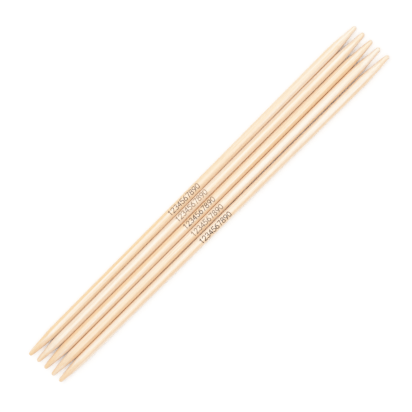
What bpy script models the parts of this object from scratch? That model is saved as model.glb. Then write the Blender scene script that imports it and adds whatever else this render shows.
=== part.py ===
"""Five double pointed knitting needles of turned bamboo, lying side by side on a table.

Metres, +Z up. +X runs along needle_3, the middle one, +Y points across the row towards
needle_1, and the table is z = 0. Every needle is one solid stick with a rounded point at
both ends. Its object's origin is halfway along its own length axis.
"""

import math

import bpy

# One needle.
LENGTH = 0.1524
DIAMETER = 0.00325
POINT_LENGTH = 0.0114  # from the very tip to where the full diameter starts
TIP_RADIUS = 0.00075  # the ball that rounds off each point
POINT_FULLNESS = 1.3  # 1 is a straight cone, and more is a fuller, softer point

# How finely one needle is cut into flat faces.
SIDES = 32
TIP_STEPS = 4
POINT_STEPS = 8

# How the five lie. Their shafts nearly touch at the -X end and fan apart towards +X.
CLOSE_GAP = 0.00003
FAN_DEGREES = (0.040, 0.035, 0.0, -0.005, -0.120)  # each needle's turn about +Z
ENDWISE_SHIFT = (-0.00048, -0.00012, -0.00001, 0.00011, 0.00035)  # along +X

# Each stick's bamboo (linear RGB). needle_3 is the warmest and needle_2 the palest.
BAMBOO_COLOURS = (
    (0.75, 0.51, 0.33),
    (0.77, 0.57, 0.42),
    (0.75, 0.49, 0.31),
    (0.76, 0.54, 0.38),
    (0.77, 0.55, 0.40),
)
BAMBOO_ROUGHNESS = 0.42

RADIUS = DIAMETER / 2
FULL_FROM_MIDDLE = LENGTH / 2 - POINT_LENGTH  # how far the full diameter reaches each way
HALF_FACET = math.pi / SIDES


def clear_scene():
    for obj in list(bpy.data.objects):
        bpy.data.objects.remove(obj, do_unlink=True)


def new_collection(name):
    collection = bpy.data.collections.new(name)
    bpy.context.scene.collection.children.link(collection)
    return collection


def point_outline():
    """(distance from the tip, radius) down one point, from the axis to the full diameter."""
    swell = (RADIUS - TIP_RADIUS) * POINT_FULLNESS / (POINT_LENGTH - TIP_RADIUS)
    cone_angle = math.atan(swell)
    outline = []
    for step in range(TIP_STEPS + 1):
        angle = step / TIP_STEPS * (math.pi / 2 - cone_angle)
        outline.append((TIP_RADIUS * (1 - math.cos(angle)), TIP_RADIUS * math.sin(angle)))
    start, start_radius = outline[-1]
    for step in range(1, POINT_STEPS + 1):
        share = step / POINT_STEPS
        remaining = (1 - share) ** POINT_FULLNESS
        distance = start + share * (POINT_LENGTH - start)
        outline.append((distance, RADIUS - (RADIUS - start_radius) * remaining))
    return outline


def needle_mesh():
    """Half of the long section, from the +X tip to the -X tip, as one open line of edges."""
    point = point_outline()
    profile = [(LENGTH / 2 - distance, radius, 0.0) for distance, radius in point]
    profile += [(distance - LENGTH / 2, radius, 0.0) for distance, radius in reversed(point)]
    edges = [(index, index + 1) for index in range(len(profile) - 1)]
    mesh = bpy.data.meshes.new("needle_profile")
    mesh.from_pydata(profile, edges, [])
    return mesh


def bamboo(name, colour):
    material = bpy.data.materials.new(name)
    material.use_nodes = True
    shader = material.node_tree.nodes["Principled BSDF"]
    shader.inputs["Base Color"].default_value = (*colour, 1.0)
    shader.inputs["Roughness"].default_value = BAMBOO_ROUGHNESS
    shader.inputs["Metallic"].default_value = 0.0
    return material


def needle(collection, name, colour, place, turn):
    """A turned stick, rolled so that the flat of one facet, not an edge, lies on the table."""
    stick = bpy.data.objects.new(name, needle_mesh())
    collection.objects.link(stick)
    stick.data.materials.append(bamboo(name + "_bamboo", colour))
    stick.location = place
    stick.rotation_euler = (HALF_FACET, 0.0, turn)
    lathe = stick.modifiers.new("lathe", "SCREW")
    lathe.axis = "X"
    lathe.angle = math.tau
    lathe.steps = SIDES
    lathe.render_steps = SIDES
    lathe.use_merge_vertices = True
    lathe.merge_threshold = 0.000001
    lathe.use_smooth_shade = True
    return stick


def places_across(turns):
    """Each needle's y at mid-length, so that neighbours clear each other by CLOSE_GAP."""
    across = [0.0]
    for turn, next_turn in zip(turns, turns[1:]):
        fan = (turn - next_turn) * FULL_FROM_MIDDLE
        across.append(across[-1] - DIAMETER - CLOSE_GAP - fan)
    middle = (across[0] + across[-1]) / 2
    return [y - middle for y in across]


def main():
    clear_scene()
    collection = new_collection("double_pointed_needles")
    axis_height = RADIUS * math.cos(HALF_FACET)
    turns = [math.radians(degrees) for degrees in FAN_DEGREES]
    lay = zip(ENDWISE_SHIFT, places_across(turns), turns, BAMBOO_COLOURS)
    for number, (shift, across, turn, colour) in enumerate(lay, 1):
        needle(collection, f"needle_{number}", colour, (shift, across, axis_height), turn)


main()
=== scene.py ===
"""Five bamboo double pointed needles on a white table, seen from above.

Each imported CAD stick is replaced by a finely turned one, with sanded fibres and worn round
tips, and gets an ink mark that lies on the curve of its shaft. Metres, +Z up, in the CAD's
own frame.
"""

import math

import bpy
import numpy as np
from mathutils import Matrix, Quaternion, Vector


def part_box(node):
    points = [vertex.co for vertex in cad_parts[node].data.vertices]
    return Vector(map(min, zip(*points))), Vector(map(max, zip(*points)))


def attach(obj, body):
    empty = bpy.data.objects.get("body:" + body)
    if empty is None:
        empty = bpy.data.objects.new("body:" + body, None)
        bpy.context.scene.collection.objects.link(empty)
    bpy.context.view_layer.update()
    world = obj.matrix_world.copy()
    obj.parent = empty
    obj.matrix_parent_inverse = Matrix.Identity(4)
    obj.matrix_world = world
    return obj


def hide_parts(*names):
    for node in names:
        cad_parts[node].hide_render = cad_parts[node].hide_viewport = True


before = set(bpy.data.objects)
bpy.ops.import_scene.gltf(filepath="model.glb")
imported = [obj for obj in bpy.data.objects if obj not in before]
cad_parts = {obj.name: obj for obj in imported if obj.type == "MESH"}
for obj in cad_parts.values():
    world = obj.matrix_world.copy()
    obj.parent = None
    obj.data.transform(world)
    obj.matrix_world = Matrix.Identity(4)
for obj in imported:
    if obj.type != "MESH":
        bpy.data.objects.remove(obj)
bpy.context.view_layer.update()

MILLIMETRE = 0.001
ANY_PHASE = 6.3  # random phases run from 0 to about one full turn, in radians

# One turned stick. Its length, diameter and place come from the frame.
POINT_LENGTH = 0.0114
TIP_RADIUS = 0.00075
POINT_FULLNESS = 1.3  # 1 is a straight cone, and more is a fuller, softer point
SIDES = 96
TIP_RINGS = 9
POINT_RINGS = 64
SHAFT_RINGS = 150

# The sanded fibres, which lie between the full round and twice RELIEF below it.
RELIEF = 0.000006
RIDGES = range(3, 34)  # how many ridges each wave has round the stick
RIDGE_LIMIT = 1.6  # where the height of all the ridges together is cut off
WANDER = (0.3, 1.4)  # how far a ridge wanders round the stick, in radians of its own wave
WANDER_PACE = (20, 130)  # how fast it does so, in radians per metre
TIP_RELIEF = 0.15  # the share of the relief that is left at the very tips

# The printed mark, on the upper side of each shaft.
MARK_CENTRE = -0.0017  # along the stick from its middle
MARK_LENGTH = 0.0137
MARK_HEIGHT = 0.00178
MARK_STROKE = 0.0003
MARK_PROUD = 0.000012  # how far the ink's outer face stands above the full round
MARK_DEPTH = 0.00003  # how far its inner face lies below it, under the fibres
MARK_GRID = 0.00004  # the side of the square cells that the ink is cut from
GRID_MARGIN = 6  # spare cells round the mark
MARK_SEED = 500  # added to a stick's seed for its ink's ragged edge
RAGGED_WAVES = 10
RAGGED_PACE = 9000  # in radians per metre
RAGGEDNESS = 0.05  # how much each wave changes the width of a stroke, as a share of it

# Everything that differs from stick to stick. Low is the -X end and high is the +X end.
# seed: the seed of its random numbers.
# mark_turn: where its mark lies round the stick, in degrees from straight up towards +Y.
# ink: how well its ink covers the wood, up to 1.
# grain: the strength of its warm streaks, up to 1.
# bands_low, bands_high: its orange bands, each (angle, edge, strength), which are orange layers
# of the wood and also painted shade on its sides. The angle is measured like mark_turn, and the
# band covers the wood beyond edge, in radii from the axis that way.
# cut_low, cut_high: how warm the wood is where its points are cut, up to 1, which is also
# painted shade, much stronger at the -X end, which the lamp lights less.
# tip_low, tip_high: how far each tip lies off the stick's axis (across, up), in millimetres.
STICKS = {
    "needle_1": dict(seed=11, mark_turn=4.5, ink=0.92, grain=1.00,
                     bands_low=((76, 0.60, 1.00), (-66, 0.66, 0.35)),
                     bands_high=((80, 0.68, 0.55), (-66, 0.76, 0.10)),
                     cut_low=0.75, cut_high=0.10,
                     tip_low=(0.10, 0.02), tip_high=(0.02, 0.00)),
    "needle_2": dict(seed=23, mark_turn=12.0, ink=0.80, grain=0.25,
                     bands_low=((80, 0.84, 0.15), (-74, 0.86, 0.35)),
                     bands_high=((-76, 0.88, 0.30),),
                     cut_low=0.45, cut_high=0.10,
                     tip_low=(0.02, 0.00), tip_high=(0.06, 0.00)),
    "needle_3": dict(seed=37, mark_turn=9.0, ink=0.95, grain=1.00,
                     bands_low=((72, 0.62, 0.70), (-76, 0.62, 0.45)),
                     bands_high=((78, 0.60, 0.50), (-64, 0.68, 0.85)),
                     cut_low=0.60, cut_high=0.30,
                     tip_low=(0.00, 0.00), tip_high=(0.00, 0.00)),
    "needle_4": dict(seed=41, mark_turn=0.0, ink=0.86, grain=0.80,
                     bands_low=((-66, 0.66, 0.55),),
                     bands_high=((-70, 0.70, 0.20),),
                     cut_low=0.40, cut_high=0.05,
                     tip_low=(-0.04, 0.00), tip_high=(-0.04, 0.00)),
    "needle_5": dict(seed=59, mark_turn=-6.0, ink=1.00, grain=0.60,
                     bands_low=((-76, 0.78, 0.25),),
                     bands_high=((-74, 0.66, 0.40),),
                     cut_low=0.35, cut_high=0.10,
                     tip_low=(0.02, 0.00), tip_high=(-0.16, 0.00)),
}


# ---------------------------------------------------------------- the sticks

def place_of(node):
    """(middle, turn about +Z, length, radius) of a stick, measured on its CAD node."""
    points = np.array([v.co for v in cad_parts[node].data.vertices], float)
    low_tip = points[points[:, 0].argmin()]
    high_tip = points[points[:, 0].argmax()]
    along = high_tip - low_tip
    turn = math.atan2(along[1], along[0])
    middle = (low_tip + high_tip) / 2
    off = points - middle
    off -= np.outer(off @ along, along) / (along @ along)
    radius = np.sqrt((off**2).sum(1)).max()
    return middle, turn, float(np.linalg.norm(along)), float(radius)


def point_outline(radius):
    """(distance from the tip, radius) from just past the tip to the full diameter."""
    cone = math.atan((radius - TIP_RADIUS) * POINT_FULLNESS / (POINT_LENGTH - TIP_RADIUS))
    angles = np.linspace(0, math.pi / 2 - cone, TIP_RINGS)[1:]
    ball = np.stack([TIP_RADIUS * (1 - np.cos(angles)), TIP_RADIUS * np.sin(angles)], 1)
    start, start_radius = ball[-1]
    share = np.linspace(0, 1, POINT_RINGS)[1:]
    distance = start + share * (POINT_LENGTH - start)
    swell = radius - (radius - start_radius) * (1 - share) ** POINT_FULLNESS
    return np.concatenate([ball, np.stack([distance, swell], 1)])


def stick_outline(length, radius):
    """Where each ring of a stick lies along X, and its radius, from the low end up."""
    point = point_outline(radius)
    point_x = length / 2 - point[:, 0]
    shaft_x = np.linspace(-point_x[-1], point_x[-1], SHAFT_RINGS)[1:-1]
    shaft_r = np.full(len(shaft_x), radius)
    ring_x = np.concatenate([-point_x, shaft_x, point_x[::-1]])
    ring_r = np.concatenate([point[:, 1], shaft_r, point[::-1, 1]])
    return ring_x, ring_r


def fibre_relief(x, angle, rng):
    """Smooth lengthwise ridges round the stick, which wander slowly along it: -1 to 1."""
    height = np.zeros(np.broadcast(x, angle).shape)
    for ridges in RIDGES:
        strength = rng.normal() / math.sqrt(ridges)
        wander = rng.uniform(*WANDER)
        wander = wander * np.sin(x * rng.uniform(*WANDER_PACE) + rng.uniform(0, ANY_PHASE))
        height += strength * np.cos(ridges * angle + rng.uniform(0, ANY_PHASE) + wander)
    return np.clip(height / RIDGE_LIMIT, -1, 1)


def tip_lean(x, length, facts):
    """(across, up) from the axis at each x. Hand finishing leaves the tips a little off it."""
    lean = np.zeros((len(x), 2))
    for end, offset in ((-1, facts["tip_low"]), (1, facts["tip_high"])):
        share = np.clip(1 - (length / 2 - end * x) / POINT_LENGTH, 0, 1) ** 2
        lean += share[:, None] * np.array(offset) * MILLIMETRE
    return lean


def lathe_faces(rings):
    """Quads from ring to ring, and a fan at each end onto one of the two last points."""
    faces = []
    for ring in range(rings - 1):
        here, there = ring * SIDES, (ring + 1) * SIDES
        for side in range(SIDES):
            after = (side + 1) % SIDES
            faces.append((here + side, here + after, there + after, there + side))
    last = (rings - 1) * SIDES
    low_tip, high_tip = rings * SIDES, rings * SIDES + 1
    for side in range(SIDES):
        after = (side + 1) % SIDES
        faces.append((low_tip, after, side))
        faces.append((high_tip, last + side, last + after))
    return faces


def new_piece(name, points, faces):
    """A smooth-shaded object in the scene."""
    mesh = bpy.data.meshes.new(name)
    mesh.from_pydata([tuple(point) for point in points], [], faces)
    mesh.validate()
    mesh.shade_smooth()
    piece = bpy.data.objects.new(name, mesh)
    bpy.context.scene.collection.objects.link(piece)
    return piece


def turned_stick(name, length, radius, facts):
    """A closed lathe mesh along local X, with its two tips as single points."""
    ring_x, ring_r = stick_outline(length, radius)
    angle = np.arange(SIDES) / SIDES * math.tau
    rng = np.random.default_rng(facts["seed"])
    relief = fibre_relief(ring_x[:, None], angle[None, :], rng)
    # The relief fades towards the polished tips.
    fade = np.clip((length / 2 - np.abs(ring_x)) / POINT_LENGTH, TIP_RELIEF, 1)[:, None]
    surface = ring_r[:, None] - RELIEF + RELIEF * relief * fade * ring_r[:, None] / radius
    lean = tip_lean(ring_x, length, facts)
    y = surface * np.cos(angle) + lean[:, :1]
    z = surface * np.sin(angle) + lean[:, 1:]
    x = np.broadcast_to(ring_x[:, None], y.shape)
    rings = np.stack([x, y, z], 2).reshape(-1, 3)
    ends = np.array([-length / 2, length / 2])
    tips = np.column_stack([ends, tip_lean(ends, length, facts)])
    return new_piece(name, np.concatenate([rings, tips]), lathe_faces(len(ring_x)))


# ---------------------------------------------------------------- the printed mark

def arc(cx, cy, rx, ry, start, end, steps=10):
    """Points on an oval arc, angles in degrees anticlockwise from the right."""
    angles = np.radians(np.linspace(start, end, steps))
    return [(cx + rx * math.cos(a), cy + ry * math.sin(a)) for a in angles]


# Plain counting numerals, 1 high and up to NUMERAL_WIDTH wide, each a list of pen strokes.
NUMERAL_WIDTH = 0.6
NUMERALS = (
    [[(0.12, 0.78), (0.34, 1.0), (0.34, 0.0)]],
    [arc(0.3, 0.72, 0.28, 0.28, 170, -35) + [(0.02, 0.0), (0.6, 0.0)]],
    [arc(0.28, 0.75, 0.27, 0.25, 150, -90), arc(0.28, 0.26, 0.30, 0.26, 90, -150)],
    [[(0.46, 0.0), (0.46, 1.0), (0.0, 0.3), (0.6, 0.3)]],
    [[(0.54, 1.0), (0.08, 1.0), (0.05, 0.56)] + arc(0.27, 0.31, 0.30, 0.31, 130, -150)],
    [arc(0.3, 0.3, 0.28, 0.30, 0, 360, 18), arc(0.62, 0.30, 0.60, 0.72, 180, 110)],
    [[(0.02, 1.0), (0.58, 1.0), (0.22, 0.0)]],
    [arc(0.3, 0.76, 0.24, 0.24, 0, 360, 18), arc(0.3, 0.27, 0.29, 0.27, 0, 360, 18)],
    [arc(0.3, 0.7, 0.28, 0.30, 0, 360, 18), arc(-0.02, 0.70, 0.60, 0.72, 0, -70)],
    [arc(0.3, 0.5, 0.29, 0.50, 0, 360, 18)],
)


def mark_strokes():
    """Pen strokes of the ten numerals in a row, in units of their height, from the left end."""
    pitch = (MARK_LENGTH / MARK_HEIGHT - NUMERAL_WIDTH) / (len(NUMERALS) - 1)
    strokes = []
    for place, numeral in enumerate(NUMERALS):
        strokes += [[(place * pitch + x, y) for x, y in stroke] for stroke in numeral]
    return strokes


def distance_to_strokes(u, v, strokes):
    """How far each (u, v) is from the nearest pen stroke."""
    best = np.full(u.shape, np.inf)
    for stroke in strokes:
        for (ax, ay), (bx, by) in zip(stroke, stroke[1:]):
            dx, dy = bx - ax, by - ay
            share = np.clip(((u - ax) * dx + (v - ay) * dy) / (dx * dx + dy * dy), 0, 1)
            best = np.minimum(best, np.hypot(u - ax - share * dx, v - ay - share * dy))
    return best


def ink_field(rng):
    """(u, v, inside) at each corner of the grid: its place, and how far it lies in the ink."""
    columns = np.arange(int(MARK_LENGTH / MARK_GRID) + 2 * GRID_MARGIN) - GRID_MARGIN
    rows = np.arange(int(MARK_HEIGHT / MARK_GRID) + 2 * GRID_MARGIN) - GRID_MARGIN
    u, v = np.meshgrid(columns * MARK_GRID, rows * MARK_GRID, indexing="ij")
    ragged = np.zeros(u.shape)
    for _ in range(RAGGED_WAVES):
        slope = u * rng.normal(0, RAGGED_PACE) + v * rng.normal(0, RAGGED_PACE)
        ragged += np.sin(slope + rng.uniform(0, ANY_PHASE))
    half_stroke = MARK_STROKE / 2 * (1 + RAGGEDNESS * ragged)
    away = distance_to_strokes(u / MARK_HEIGHT, v / MARK_HEIGHT, mark_strokes()) * MARK_HEIGHT
    return u, v, half_stroke - away


def ink_outline(rng):
    """The mark as flat polygons: grid cells, cut where the ink's edge crosses them."""
    u, v, inside = ink_field(rng)
    points, numbers, faces = [], {}, []

    def numbered(key, position):
        """The number of the point known as key, which is added on its first use."""
        if key not in numbers:
            numbers[key] = len(points)
            points.append(position)
        return numbers[key]

    for i, j in np.ndindex(u.shape[0] - 1, u.shape[1] - 1):
        cell = [(i, j), (i + 1, j), (i + 1, j + 1), (i, j + 1)]
        polygon = []
        for here, there in zip(cell, cell[1:] + cell[:1]):
            a, b = inside[here], inside[there]
            if a > 0:
                polygon.append(numbered(here, (u[here], v[here])))
            if (a > 0) != (b > 0):
                share = a / (a - b)
                cut = (u[here] + share * (u[there] - u[here]),
                       v[here] + share * (v[there] - v[here]))
                polygon.append(numbered(tuple(sorted((here, there))), cut))
        if polygon:
            faces.append(polygon)
    return np.array(points), faces


def ink_mark(name, radius, facts):
    """The mark wrapped onto the shaft as a closed film, in the stick's own frame."""
    flat, faces = ink_outline(np.random.default_rng(facts["seed"] + MARK_SEED))
    x = MARK_CENTRE - MARK_LENGTH / 2 + flat[:, 0]
    angle = math.radians(facts["mark_turn"]) + (flat[:, 1] - MARK_HEIGHT / 2) / radius
    layers = []
    for height in (radius + MARK_PROUD, radius - MARK_DEPTH):
        layers.append(np.stack([x, height * np.sin(angle), height * np.cos(angle)], 1))
    edges = [edge for face in faces for edge in zip(face, face[1:] + face[:1])]
    known = set(edges)
    rim = [(a, b) for a, b in edges if (b, a) not in known]
    under = len(flat)  # the inner layer's points follow the outer layer's
    solid = faces + [[under + point for point in reversed(face)] for face in faces]
    solid += [[b, a, under + a, under + b] for a, b in rim]
    return new_piece(name, np.concatenate(layers), solid)


# ---------------------------------------------------------------- materials

class Nodes:
    """Short calls for building one material's node tree."""

    def __init__(self, name):
        self.material = bpy.data.materials.new(name)
        self.material.use_nodes = True
        self.tree = self.material.node_tree
        self.shader = self.tree.nodes["Principled BSDF"]

    def put(self, socket, value):
        if isinstance(value, bpy.types.NodeSocket):
            self.tree.links.new(value, socket)
        else:
            socket.default_value = value

    def add(self, kind, settings=(), **inputs):
        node = self.tree.nodes.new(kind)
        for key, value in dict(settings).items():
            setattr(node, key, value)
        for key, value in inputs.items():
            self.put(node.inputs[key.replace("_", " ")], value)
        return node

    def math(self, operation, a, b=0.0):
        node = self.add("ShaderNodeMath", {"operation": operation})
        self.put(node.inputs[0], a)
        self.put(node.inputs[1], b)
        return node.outputs[0]

    def ramp(self, value, low, high, to_low=0.0, to_high=1.0):
        """to_low up to low, to_high beyond high, and a smooth change between them."""
        node = self.add("ShaderNodeMapRange", {"interpolation_type": "SMOOTHSTEP"}, Value=value,
                        From_Min=low, From_Max=high, To_Min=to_low, To_Max=to_high)
        return node.outputs["Result"]

    def mix(self, factor, a, b):
        node = self.add("ShaderNodeMix", {"data_type": "RGBA"}, Factor=factor, A=a, B=b)
        return node.outputs["Result"]

    def stretched(self, coordinates, features, shift):
        """Coordinates with (across, along) features to the metre, moved by shift."""
        across, along = features
        node = self.add("ShaderNodeMapping", Vector=coordinates,
                        Scale=(along, across, across), Location=shift)
        return node.outputs["Vector"]

    def streaks(self, coordinates, features, seed, detail=2.0):
        """Noise drawn out along the stick, from 0 to 1."""
        place = self.stretched(coordinates, features, (seed, seed * 1.7, seed * 0.6))
        noise = self.add("ShaderNodeTexNoise", Vector=place, Scale=1.0, Detail=detail)
        return noise.outputs["Fac"]


def rgb(red, green, blue):
    return (red, green, blue, 1.0)


# Linear RGB.
PITH = rgb(0.77, 0.52, 0.345)  # the ground of the wood
PALE = rgb(0.79, 0.64, 0.52)  # its broad paler areas
WARM = rgb(0.74, 0.43, 0.21)  # its orange layers and streaks, and the painted shade at its sides and points
FIBRE = rgb(0.60, 0.33, 0.15)  # its thin dark fibres and vessels
INK = rgb(0.030, 0.020, 0.014)

# Where along X the low end's looks give way to the high end's, which carry less painted shade.
END_BLEND = (-0.02, 0.03)

# Features to the metre (across the stick, along it) of each noise and of the vessels.
BROAD = (900, 8)
MEDIUM = (2600, 26)
FINE = (9000, 110)
VESSELS = (4600, 170)
WEAR = (9000, 2600)

# Where a noise begins to count, and where it counts in full.
PALE_AREAS = (0.43, 0.56)
WARM_STREAKS = (0.48, 0.58)
FIBRE_LINES = (0.50, 0.66)
BAND_AREAS = (0.30, 0.62)
CUT_AREAS = (0.35, 0.65)
VESSEL_AREAS = (0.42, 0.62)
ROUGH_AREAS = (0.30, 0.70)
INK_AREAS = (0.32, 0.58)

WARM_STRENGTH = 0.45
FIBRE_STRENGTH = 0.30
VESSEL_STRENGTH = (0.05, 0.60)  # outside its areas and in them
ROUGHNESS = (0.34, 0.50)  # the same
BAND_LEAST = 0.55  # the share of its strength that a band keeps outside its areas
INK_LEAST = 0.88  # the same for the ink, which is worn there

BAND_SOFTNESS = 0.04  # each way from a band's edge, in radii
CUT_RADII = (0.50, 0.95)  # a point's warm wood and painted shade are full up to the first and gone at the second
CUT_WANDER = 0.10  # how far that limit wanders each way, in radii
VESSEL_WIDTH = (0.12, 0.26)  # a dash is full up to the first and gone at the second, in cells
VESSEL_DEPTH = 0.8  # as a share of the fibres' height
FIBRE_HEIGHT = 0.000012
COAT_WEIGHT = 0.75
COAT_ROUGHNESS = 0.20
INK_ROUGHNESS = 0.55


def orange_bands_and_side_shade(make, parts, radius, bands):
    """Flat-sided layers of orange wood, which show as bands along the sides of the stick, and
    painted shade there, where the sides get less light.
    """
    cover = None
    for angle, edge, strength in bands:
        across = make.math("MULTIPLY", parts.outputs["Y"], math.sin(math.radians(angle)) / radius)
        up = make.math("MULTIPLY", parts.outputs["Z"], math.cos(math.radians(angle)) / radius)
        outward = make.math("ADD", across, up)
        band = make.ramp(outward, edge - BAND_SOFTNESS, edge + BAND_SOFTNESS, 0.0, strength)
        cover = band if cover is None else make.math("MAXIMUM", cover, band)
    return cover


def side_layers_and_shade(make, parts, radius, broad, facts):
    """The low end's bands of orange layers and painted shade, which give way to the high end's,
    stronger in broad patches.
    """
    high_end = make.ramp(parts.outputs["X"], *END_BLEND)
    low_end = make.math("SUBTRACT", 1.0, high_end)
    low = make.math("MULTIPLY", orange_bands_and_side_shade(make, parts, radius, facts["bands_low"]), low_end)
    high = make.math("MULTIPLY", orange_bands_and_side_shade(make, parts, radius, facts["bands_high"]), high_end)
    patches = make.ramp(broad, *BAND_AREAS, BAND_LEAST, 1.0)
    return make.math("MULTIPLY", make.math("ADD", low, high), patches)


def cut_points_and_shade(make, parts, radius, medium, facts):
    """The points are cut down into warmer wood, more deeply the nearer the tip. This is also
    painted shade, much stronger at the -X end, which the lamp lights less.
    """
    square = make.math("ADD", make.math("POWER", parts.outputs["Y"], 2.0),
                       make.math("POWER", parts.outputs["Z"], 2.0))
    outward = make.math("DIVIDE", make.math("SQRT", square), radius)
    outward = make.math("ADD", outward, make.ramp(medium, *CUT_AREAS, -CUT_WANDER, CUT_WANDER))
    # The low end's larger warmth is painted shade on the end that gets less light.
    warmth = make.ramp(parts.outputs["X"], *END_BLEND, facts["cut_low"], facts["cut_high"])
    return make.math("MULTIPLY", make.ramp(outward, *CUT_RADII, 1.0, 0.0), warmth)


def vessel_dashes(make, place, medium, seed):
    """Short dark dashes, the ends of cut vessels, mostly in the warm streaks."""
    cells = make.add("ShaderNodeTexVoronoi", Scale=1.0,
                     Vector=make.stretched(place, VESSELS, (seed, seed, seed)))
    dash = make.ramp(cells.outputs["Distance"], *VESSEL_WIDTH, 1.0, 0.0)
    return make.math("MULTIPLY", dash, make.ramp(medium, *VESSEL_AREAS, *VESSEL_STRENGTH))


def bamboo(name, radius, facts):
    """Pale wood crossed by lengthwise fibres, with orange layers at its sides and points, which
    are partly painted shade.
    """
    make = Nodes(name)
    place = make.add("ShaderNodeTexCoord").outputs["Object"]
    parts = make.add("ShaderNodeSeparateXYZ", Vector=place)
    seed = facts["seed"]
    # The added fractions keep the finer noises from lining up with the broad one.
    broad = make.streaks(place, BROAD, seed)
    medium = make.streaks(place, MEDIUM, seed + 3.1)
    fine = make.streaks(place, FINE, seed + 7.7)
    # Orange layers of the wood and painted shade on the sides of the stick.
    side = side_layers_and_shade(make, parts, radius, broad, facts)
    # Warmer wood at the points, and painted shade that is much stronger at the -X end.
    cut = cut_points_and_shade(make, parts, radius, medium, facts)
    dash = vessel_dashes(make, place, medium, seed)

    colour = make.mix(make.ramp(broad, *PALE_AREAS), PITH, PALE)
    # The sides and points take their orange layers and painted shade.
    colour = make.mix(make.math("MAXIMUM", side, cut), colour, WARM)
    streak = make.ramp(medium, *WARM_STREAKS, 0.0, WARM_STRENGTH * facts["grain"])
    colour = make.mix(streak, colour, WARM)
    colour = make.mix(make.ramp(fine, *FIBRE_LINES, 0.0, FIBRE_STRENGTH), colour, FIBRE)
    make.put(make.shader.inputs["Base Color"], make.mix(dash, colour, FIBRE))

    make.put(make.shader.inputs["Roughness"], make.ramp(fine, *ROUGH_AREAS, *ROUGHNESS))
    make.shader.inputs["Coat Weight"].default_value = COAT_WEIGHT
    make.shader.inputs["Coat Roughness"].default_value = COAT_ROUGHNESS
    height = make.math("SUBTRACT", fine, make.math("MULTIPLY", dash, VESSEL_DEPTH))
    bump = make.add("ShaderNodeBump", Height=height, Strength=0.5, Distance=FIBRE_HEIGHT)
    make.put(make.shader.inputs["Normal"], bump.outputs["Normal"])
    return make.material


def ink(name, facts):
    """Print that lets some of the bamboo show through, a little more where it is worn."""
    make = Nodes(name)
    place = make.add("ShaderNodeTexCoord").outputs["Object"]
    worn = make.streaks(place, WEAR, facts["seed"], 3.0)
    cover = make.ramp(worn, *INK_AREAS, facts["ink"] * INK_LEAST, facts["ink"])
    make.put(make.shader.inputs["Base Color"], make.mix(cover, PITH, INK))
    make.shader.inputs["Roughness"].default_value = INK_ROUGHNESS
    return make.material


# ---------------------------------------------------------------- the set

def make_needle(node, facts):
    """One stick with its mark. It stands on the table, so its axis is one radius up."""
    middle, turn, length, radius = place_of(node)
    stick = turned_stick(node + "_bamboo", length, radius, facts)
    stick.data.materials.append(bamboo(node + "_bamboo", radius, facts))
    mark = ink_mark(node + "_mark", radius, facts)
    mark.data.materials.append(ink(node + "_ink", facts))
    for piece, slot in ((stick, "bamboo"), (mark, "ink")):
        piece.location = (middle[0], middle[1], radius)
        piece.rotation_euler = (0.0, 0.0, turn)
        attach(piece, node)
    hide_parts(node)


for node_name, stick_facts in STICKS.items():
    make_needle(node_name, stick_facts)


# ---------------------------------------------------------------- the studio

FLOOR_SIZE = 1.4
FLOOR_COLOUR = rgb(0.98, 0.98, 0.98)

# The lamp's reach along X and Y, its height over the table, and how bright it looks.
SOFTBOX_X = (-0.40, 0.60)
SOFTBOX_Y = (-0.50, 0.90)
SOFTBOX_HEIGHT = 0.80
SOFTBOX_GLOW = 3.85
SOFTBOX_COLOUR = (1.0, 0.99, 0.97)

# The room beyond the table.
WORLD_COLOUR = rgb(0.97, 0.985, 1.0)
WORLD_GLOW = 0.24
WALL_GLOW = 1.4
WALL_TOP = 0.40  # the sine of the angle above the horizon where the walls end

ROW_ANGLE = 45.03  # how far +X is turned up from the picture's horizontal, in degrees
TILT = 11.8  # how far the camera leans towards the +X end, in degrees from straight above
AIM = (0.0012, 0.00023, 0.0)  # what it looks at, before half the height of needle_3 is added
VIEW_WIDTH = 0.1327  # the width that the picture shows there
LENS = 150.0  # in millimetres, as the sensor's width
SENSOR = 36.0

# How brightness is recorded: evenly in the dark tones, then with a soft shoulder, as on film.
# Each pair is (brightness in the scene, brightness in the picture).
FILM_WHITE = 1.65
FILM_SHOULDER = ((0.20, 0.19), (0.45, 0.42), (0.75, 0.65), (1.05, 0.83), (1.30, 0.93))


def make_floor():
    half = FLOOR_SIZE / 2
    corners = [(-half, -half, 0), (half, -half, 0), (half, half, 0), (-half, half, 0)]
    floor = new_piece("floor", corners, [(0, 1, 2, 3)])
    make = Nodes("white_table")
    make.shader.inputs["Base Color"].default_value = FLOOR_COLOUR
    make.shader.inputs["Roughness"].default_value = 0.8
    make.shader.inputs["Specular IOR Level"].default_value = 0.2
    floor.data.materials.append(make.material)


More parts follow.
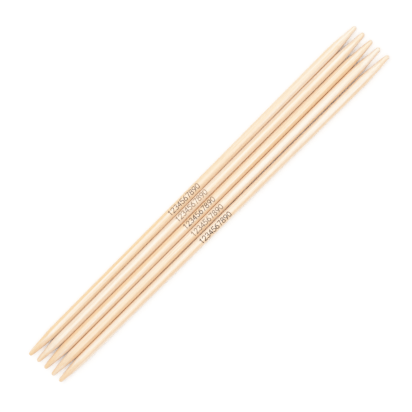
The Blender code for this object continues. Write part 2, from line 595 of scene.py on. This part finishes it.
def make_softbox():
    """One wide lamp facing straight down, further out over the +X end and the +Y side."""
    light = bpy.data.lights.new("softbox", "AREA")
    light.shape = "RECTANGLE"
    light.size = SOFTBOX_X[1] - SOFTBOX_X[0]
    light.size_y = SOFTBOX_Y[1] - SOFTBOX_Y[0]
    light.energy = SOFTBOX_GLOW * math.pi * light.size * light.size_y
    light.color = SOFTBOX_COLOUR
    lamp = bpy.data.objects.new("softbox", light)
    lamp.location = (sum(SOFTBOX_X) / 2, sum(SOFTBOX_Y) / 2, SOFTBOX_HEIGHT)
    bpy.context.scene.collection.objects.link(lamp)


def make_world():
    """Even light from above and, round the room, brighter walls whose upper half fades into it."""
    world = bpy.data.worlds.new("studio")
    world.use_nodes = True
    nodes, links = world.node_tree.nodes, world.node_tree.links
    background = nodes["Background"]
    background.inputs["Color"].default_value = WORLD_COLOUR
    direction = nodes.new("ShaderNodeTexCoord").outputs["Generated"]
    parts = nodes.new("ShaderNodeSeparateXYZ")
    links.new(direction, parts.inputs["Vector"])
    glow = nodes.new("ShaderNodeMapRange")
    glow.interpolation_type = "SMOOTHSTEP"
    links.new(parts.outputs["Z"], glow.inputs["Value"])
    for socket, value in (("From Min", WALL_TOP / 2), ("From Max", WALL_TOP),
                          ("To Min", WALL_GLOW), ("To Max", WORLD_GLOW)):
        glow.inputs[socket].default_value = value
    links.new(glow.outputs["Result"], background.inputs["Strength"])
    bpy.context.scene.world = world


def make_camera():
    """Above the row, and turned so that +X points up and to the right in the picture."""
    camera = bpy.data.cameras.new("camera")
    camera.lens = LENS
    camera.sensor_width = SENSOR
    camera.clip_start = 0.01
    holder = bpy.data.objects.new("camera", camera)
    aim = Vector(AIM) + Vector((0.0, 0.0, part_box("needle_3")[1].z / 2))
    lean = Quaternion((0.0, 1.0, 0.0), math.radians(TILT))
    holder.location = aim + lean @ Vector((0.0, 0.0, VIEW_WIDTH * LENS / SENSOR))
    roll = Quaternion((0.0, 0.0, 1.0), -math.radians(ROW_ANGLE))
    holder.rotation_euler = (lean @ roll).to_euler()
    bpy.context.scene.collection.objects.link(holder)
    bpy.context.scene.camera = holder


def make_film():
    view = bpy.context.scene.view_settings
    view.view_transform = "Standard"
    view.use_curve_mapping = True
    view.curve_mapping.white_level = (FILM_WHITE, FILM_WHITE, FILM_WHITE)
    brightness = view.curve_mapping.curves[3]
    for scene_light, recorded in FILM_SHOULDER:
        brightness.points.new(scene_light / FILM_WHITE, recorded)
    view.curve_mapping.update()


make_floor()
make_softbox()
make_world()
make_camera()
make_film()
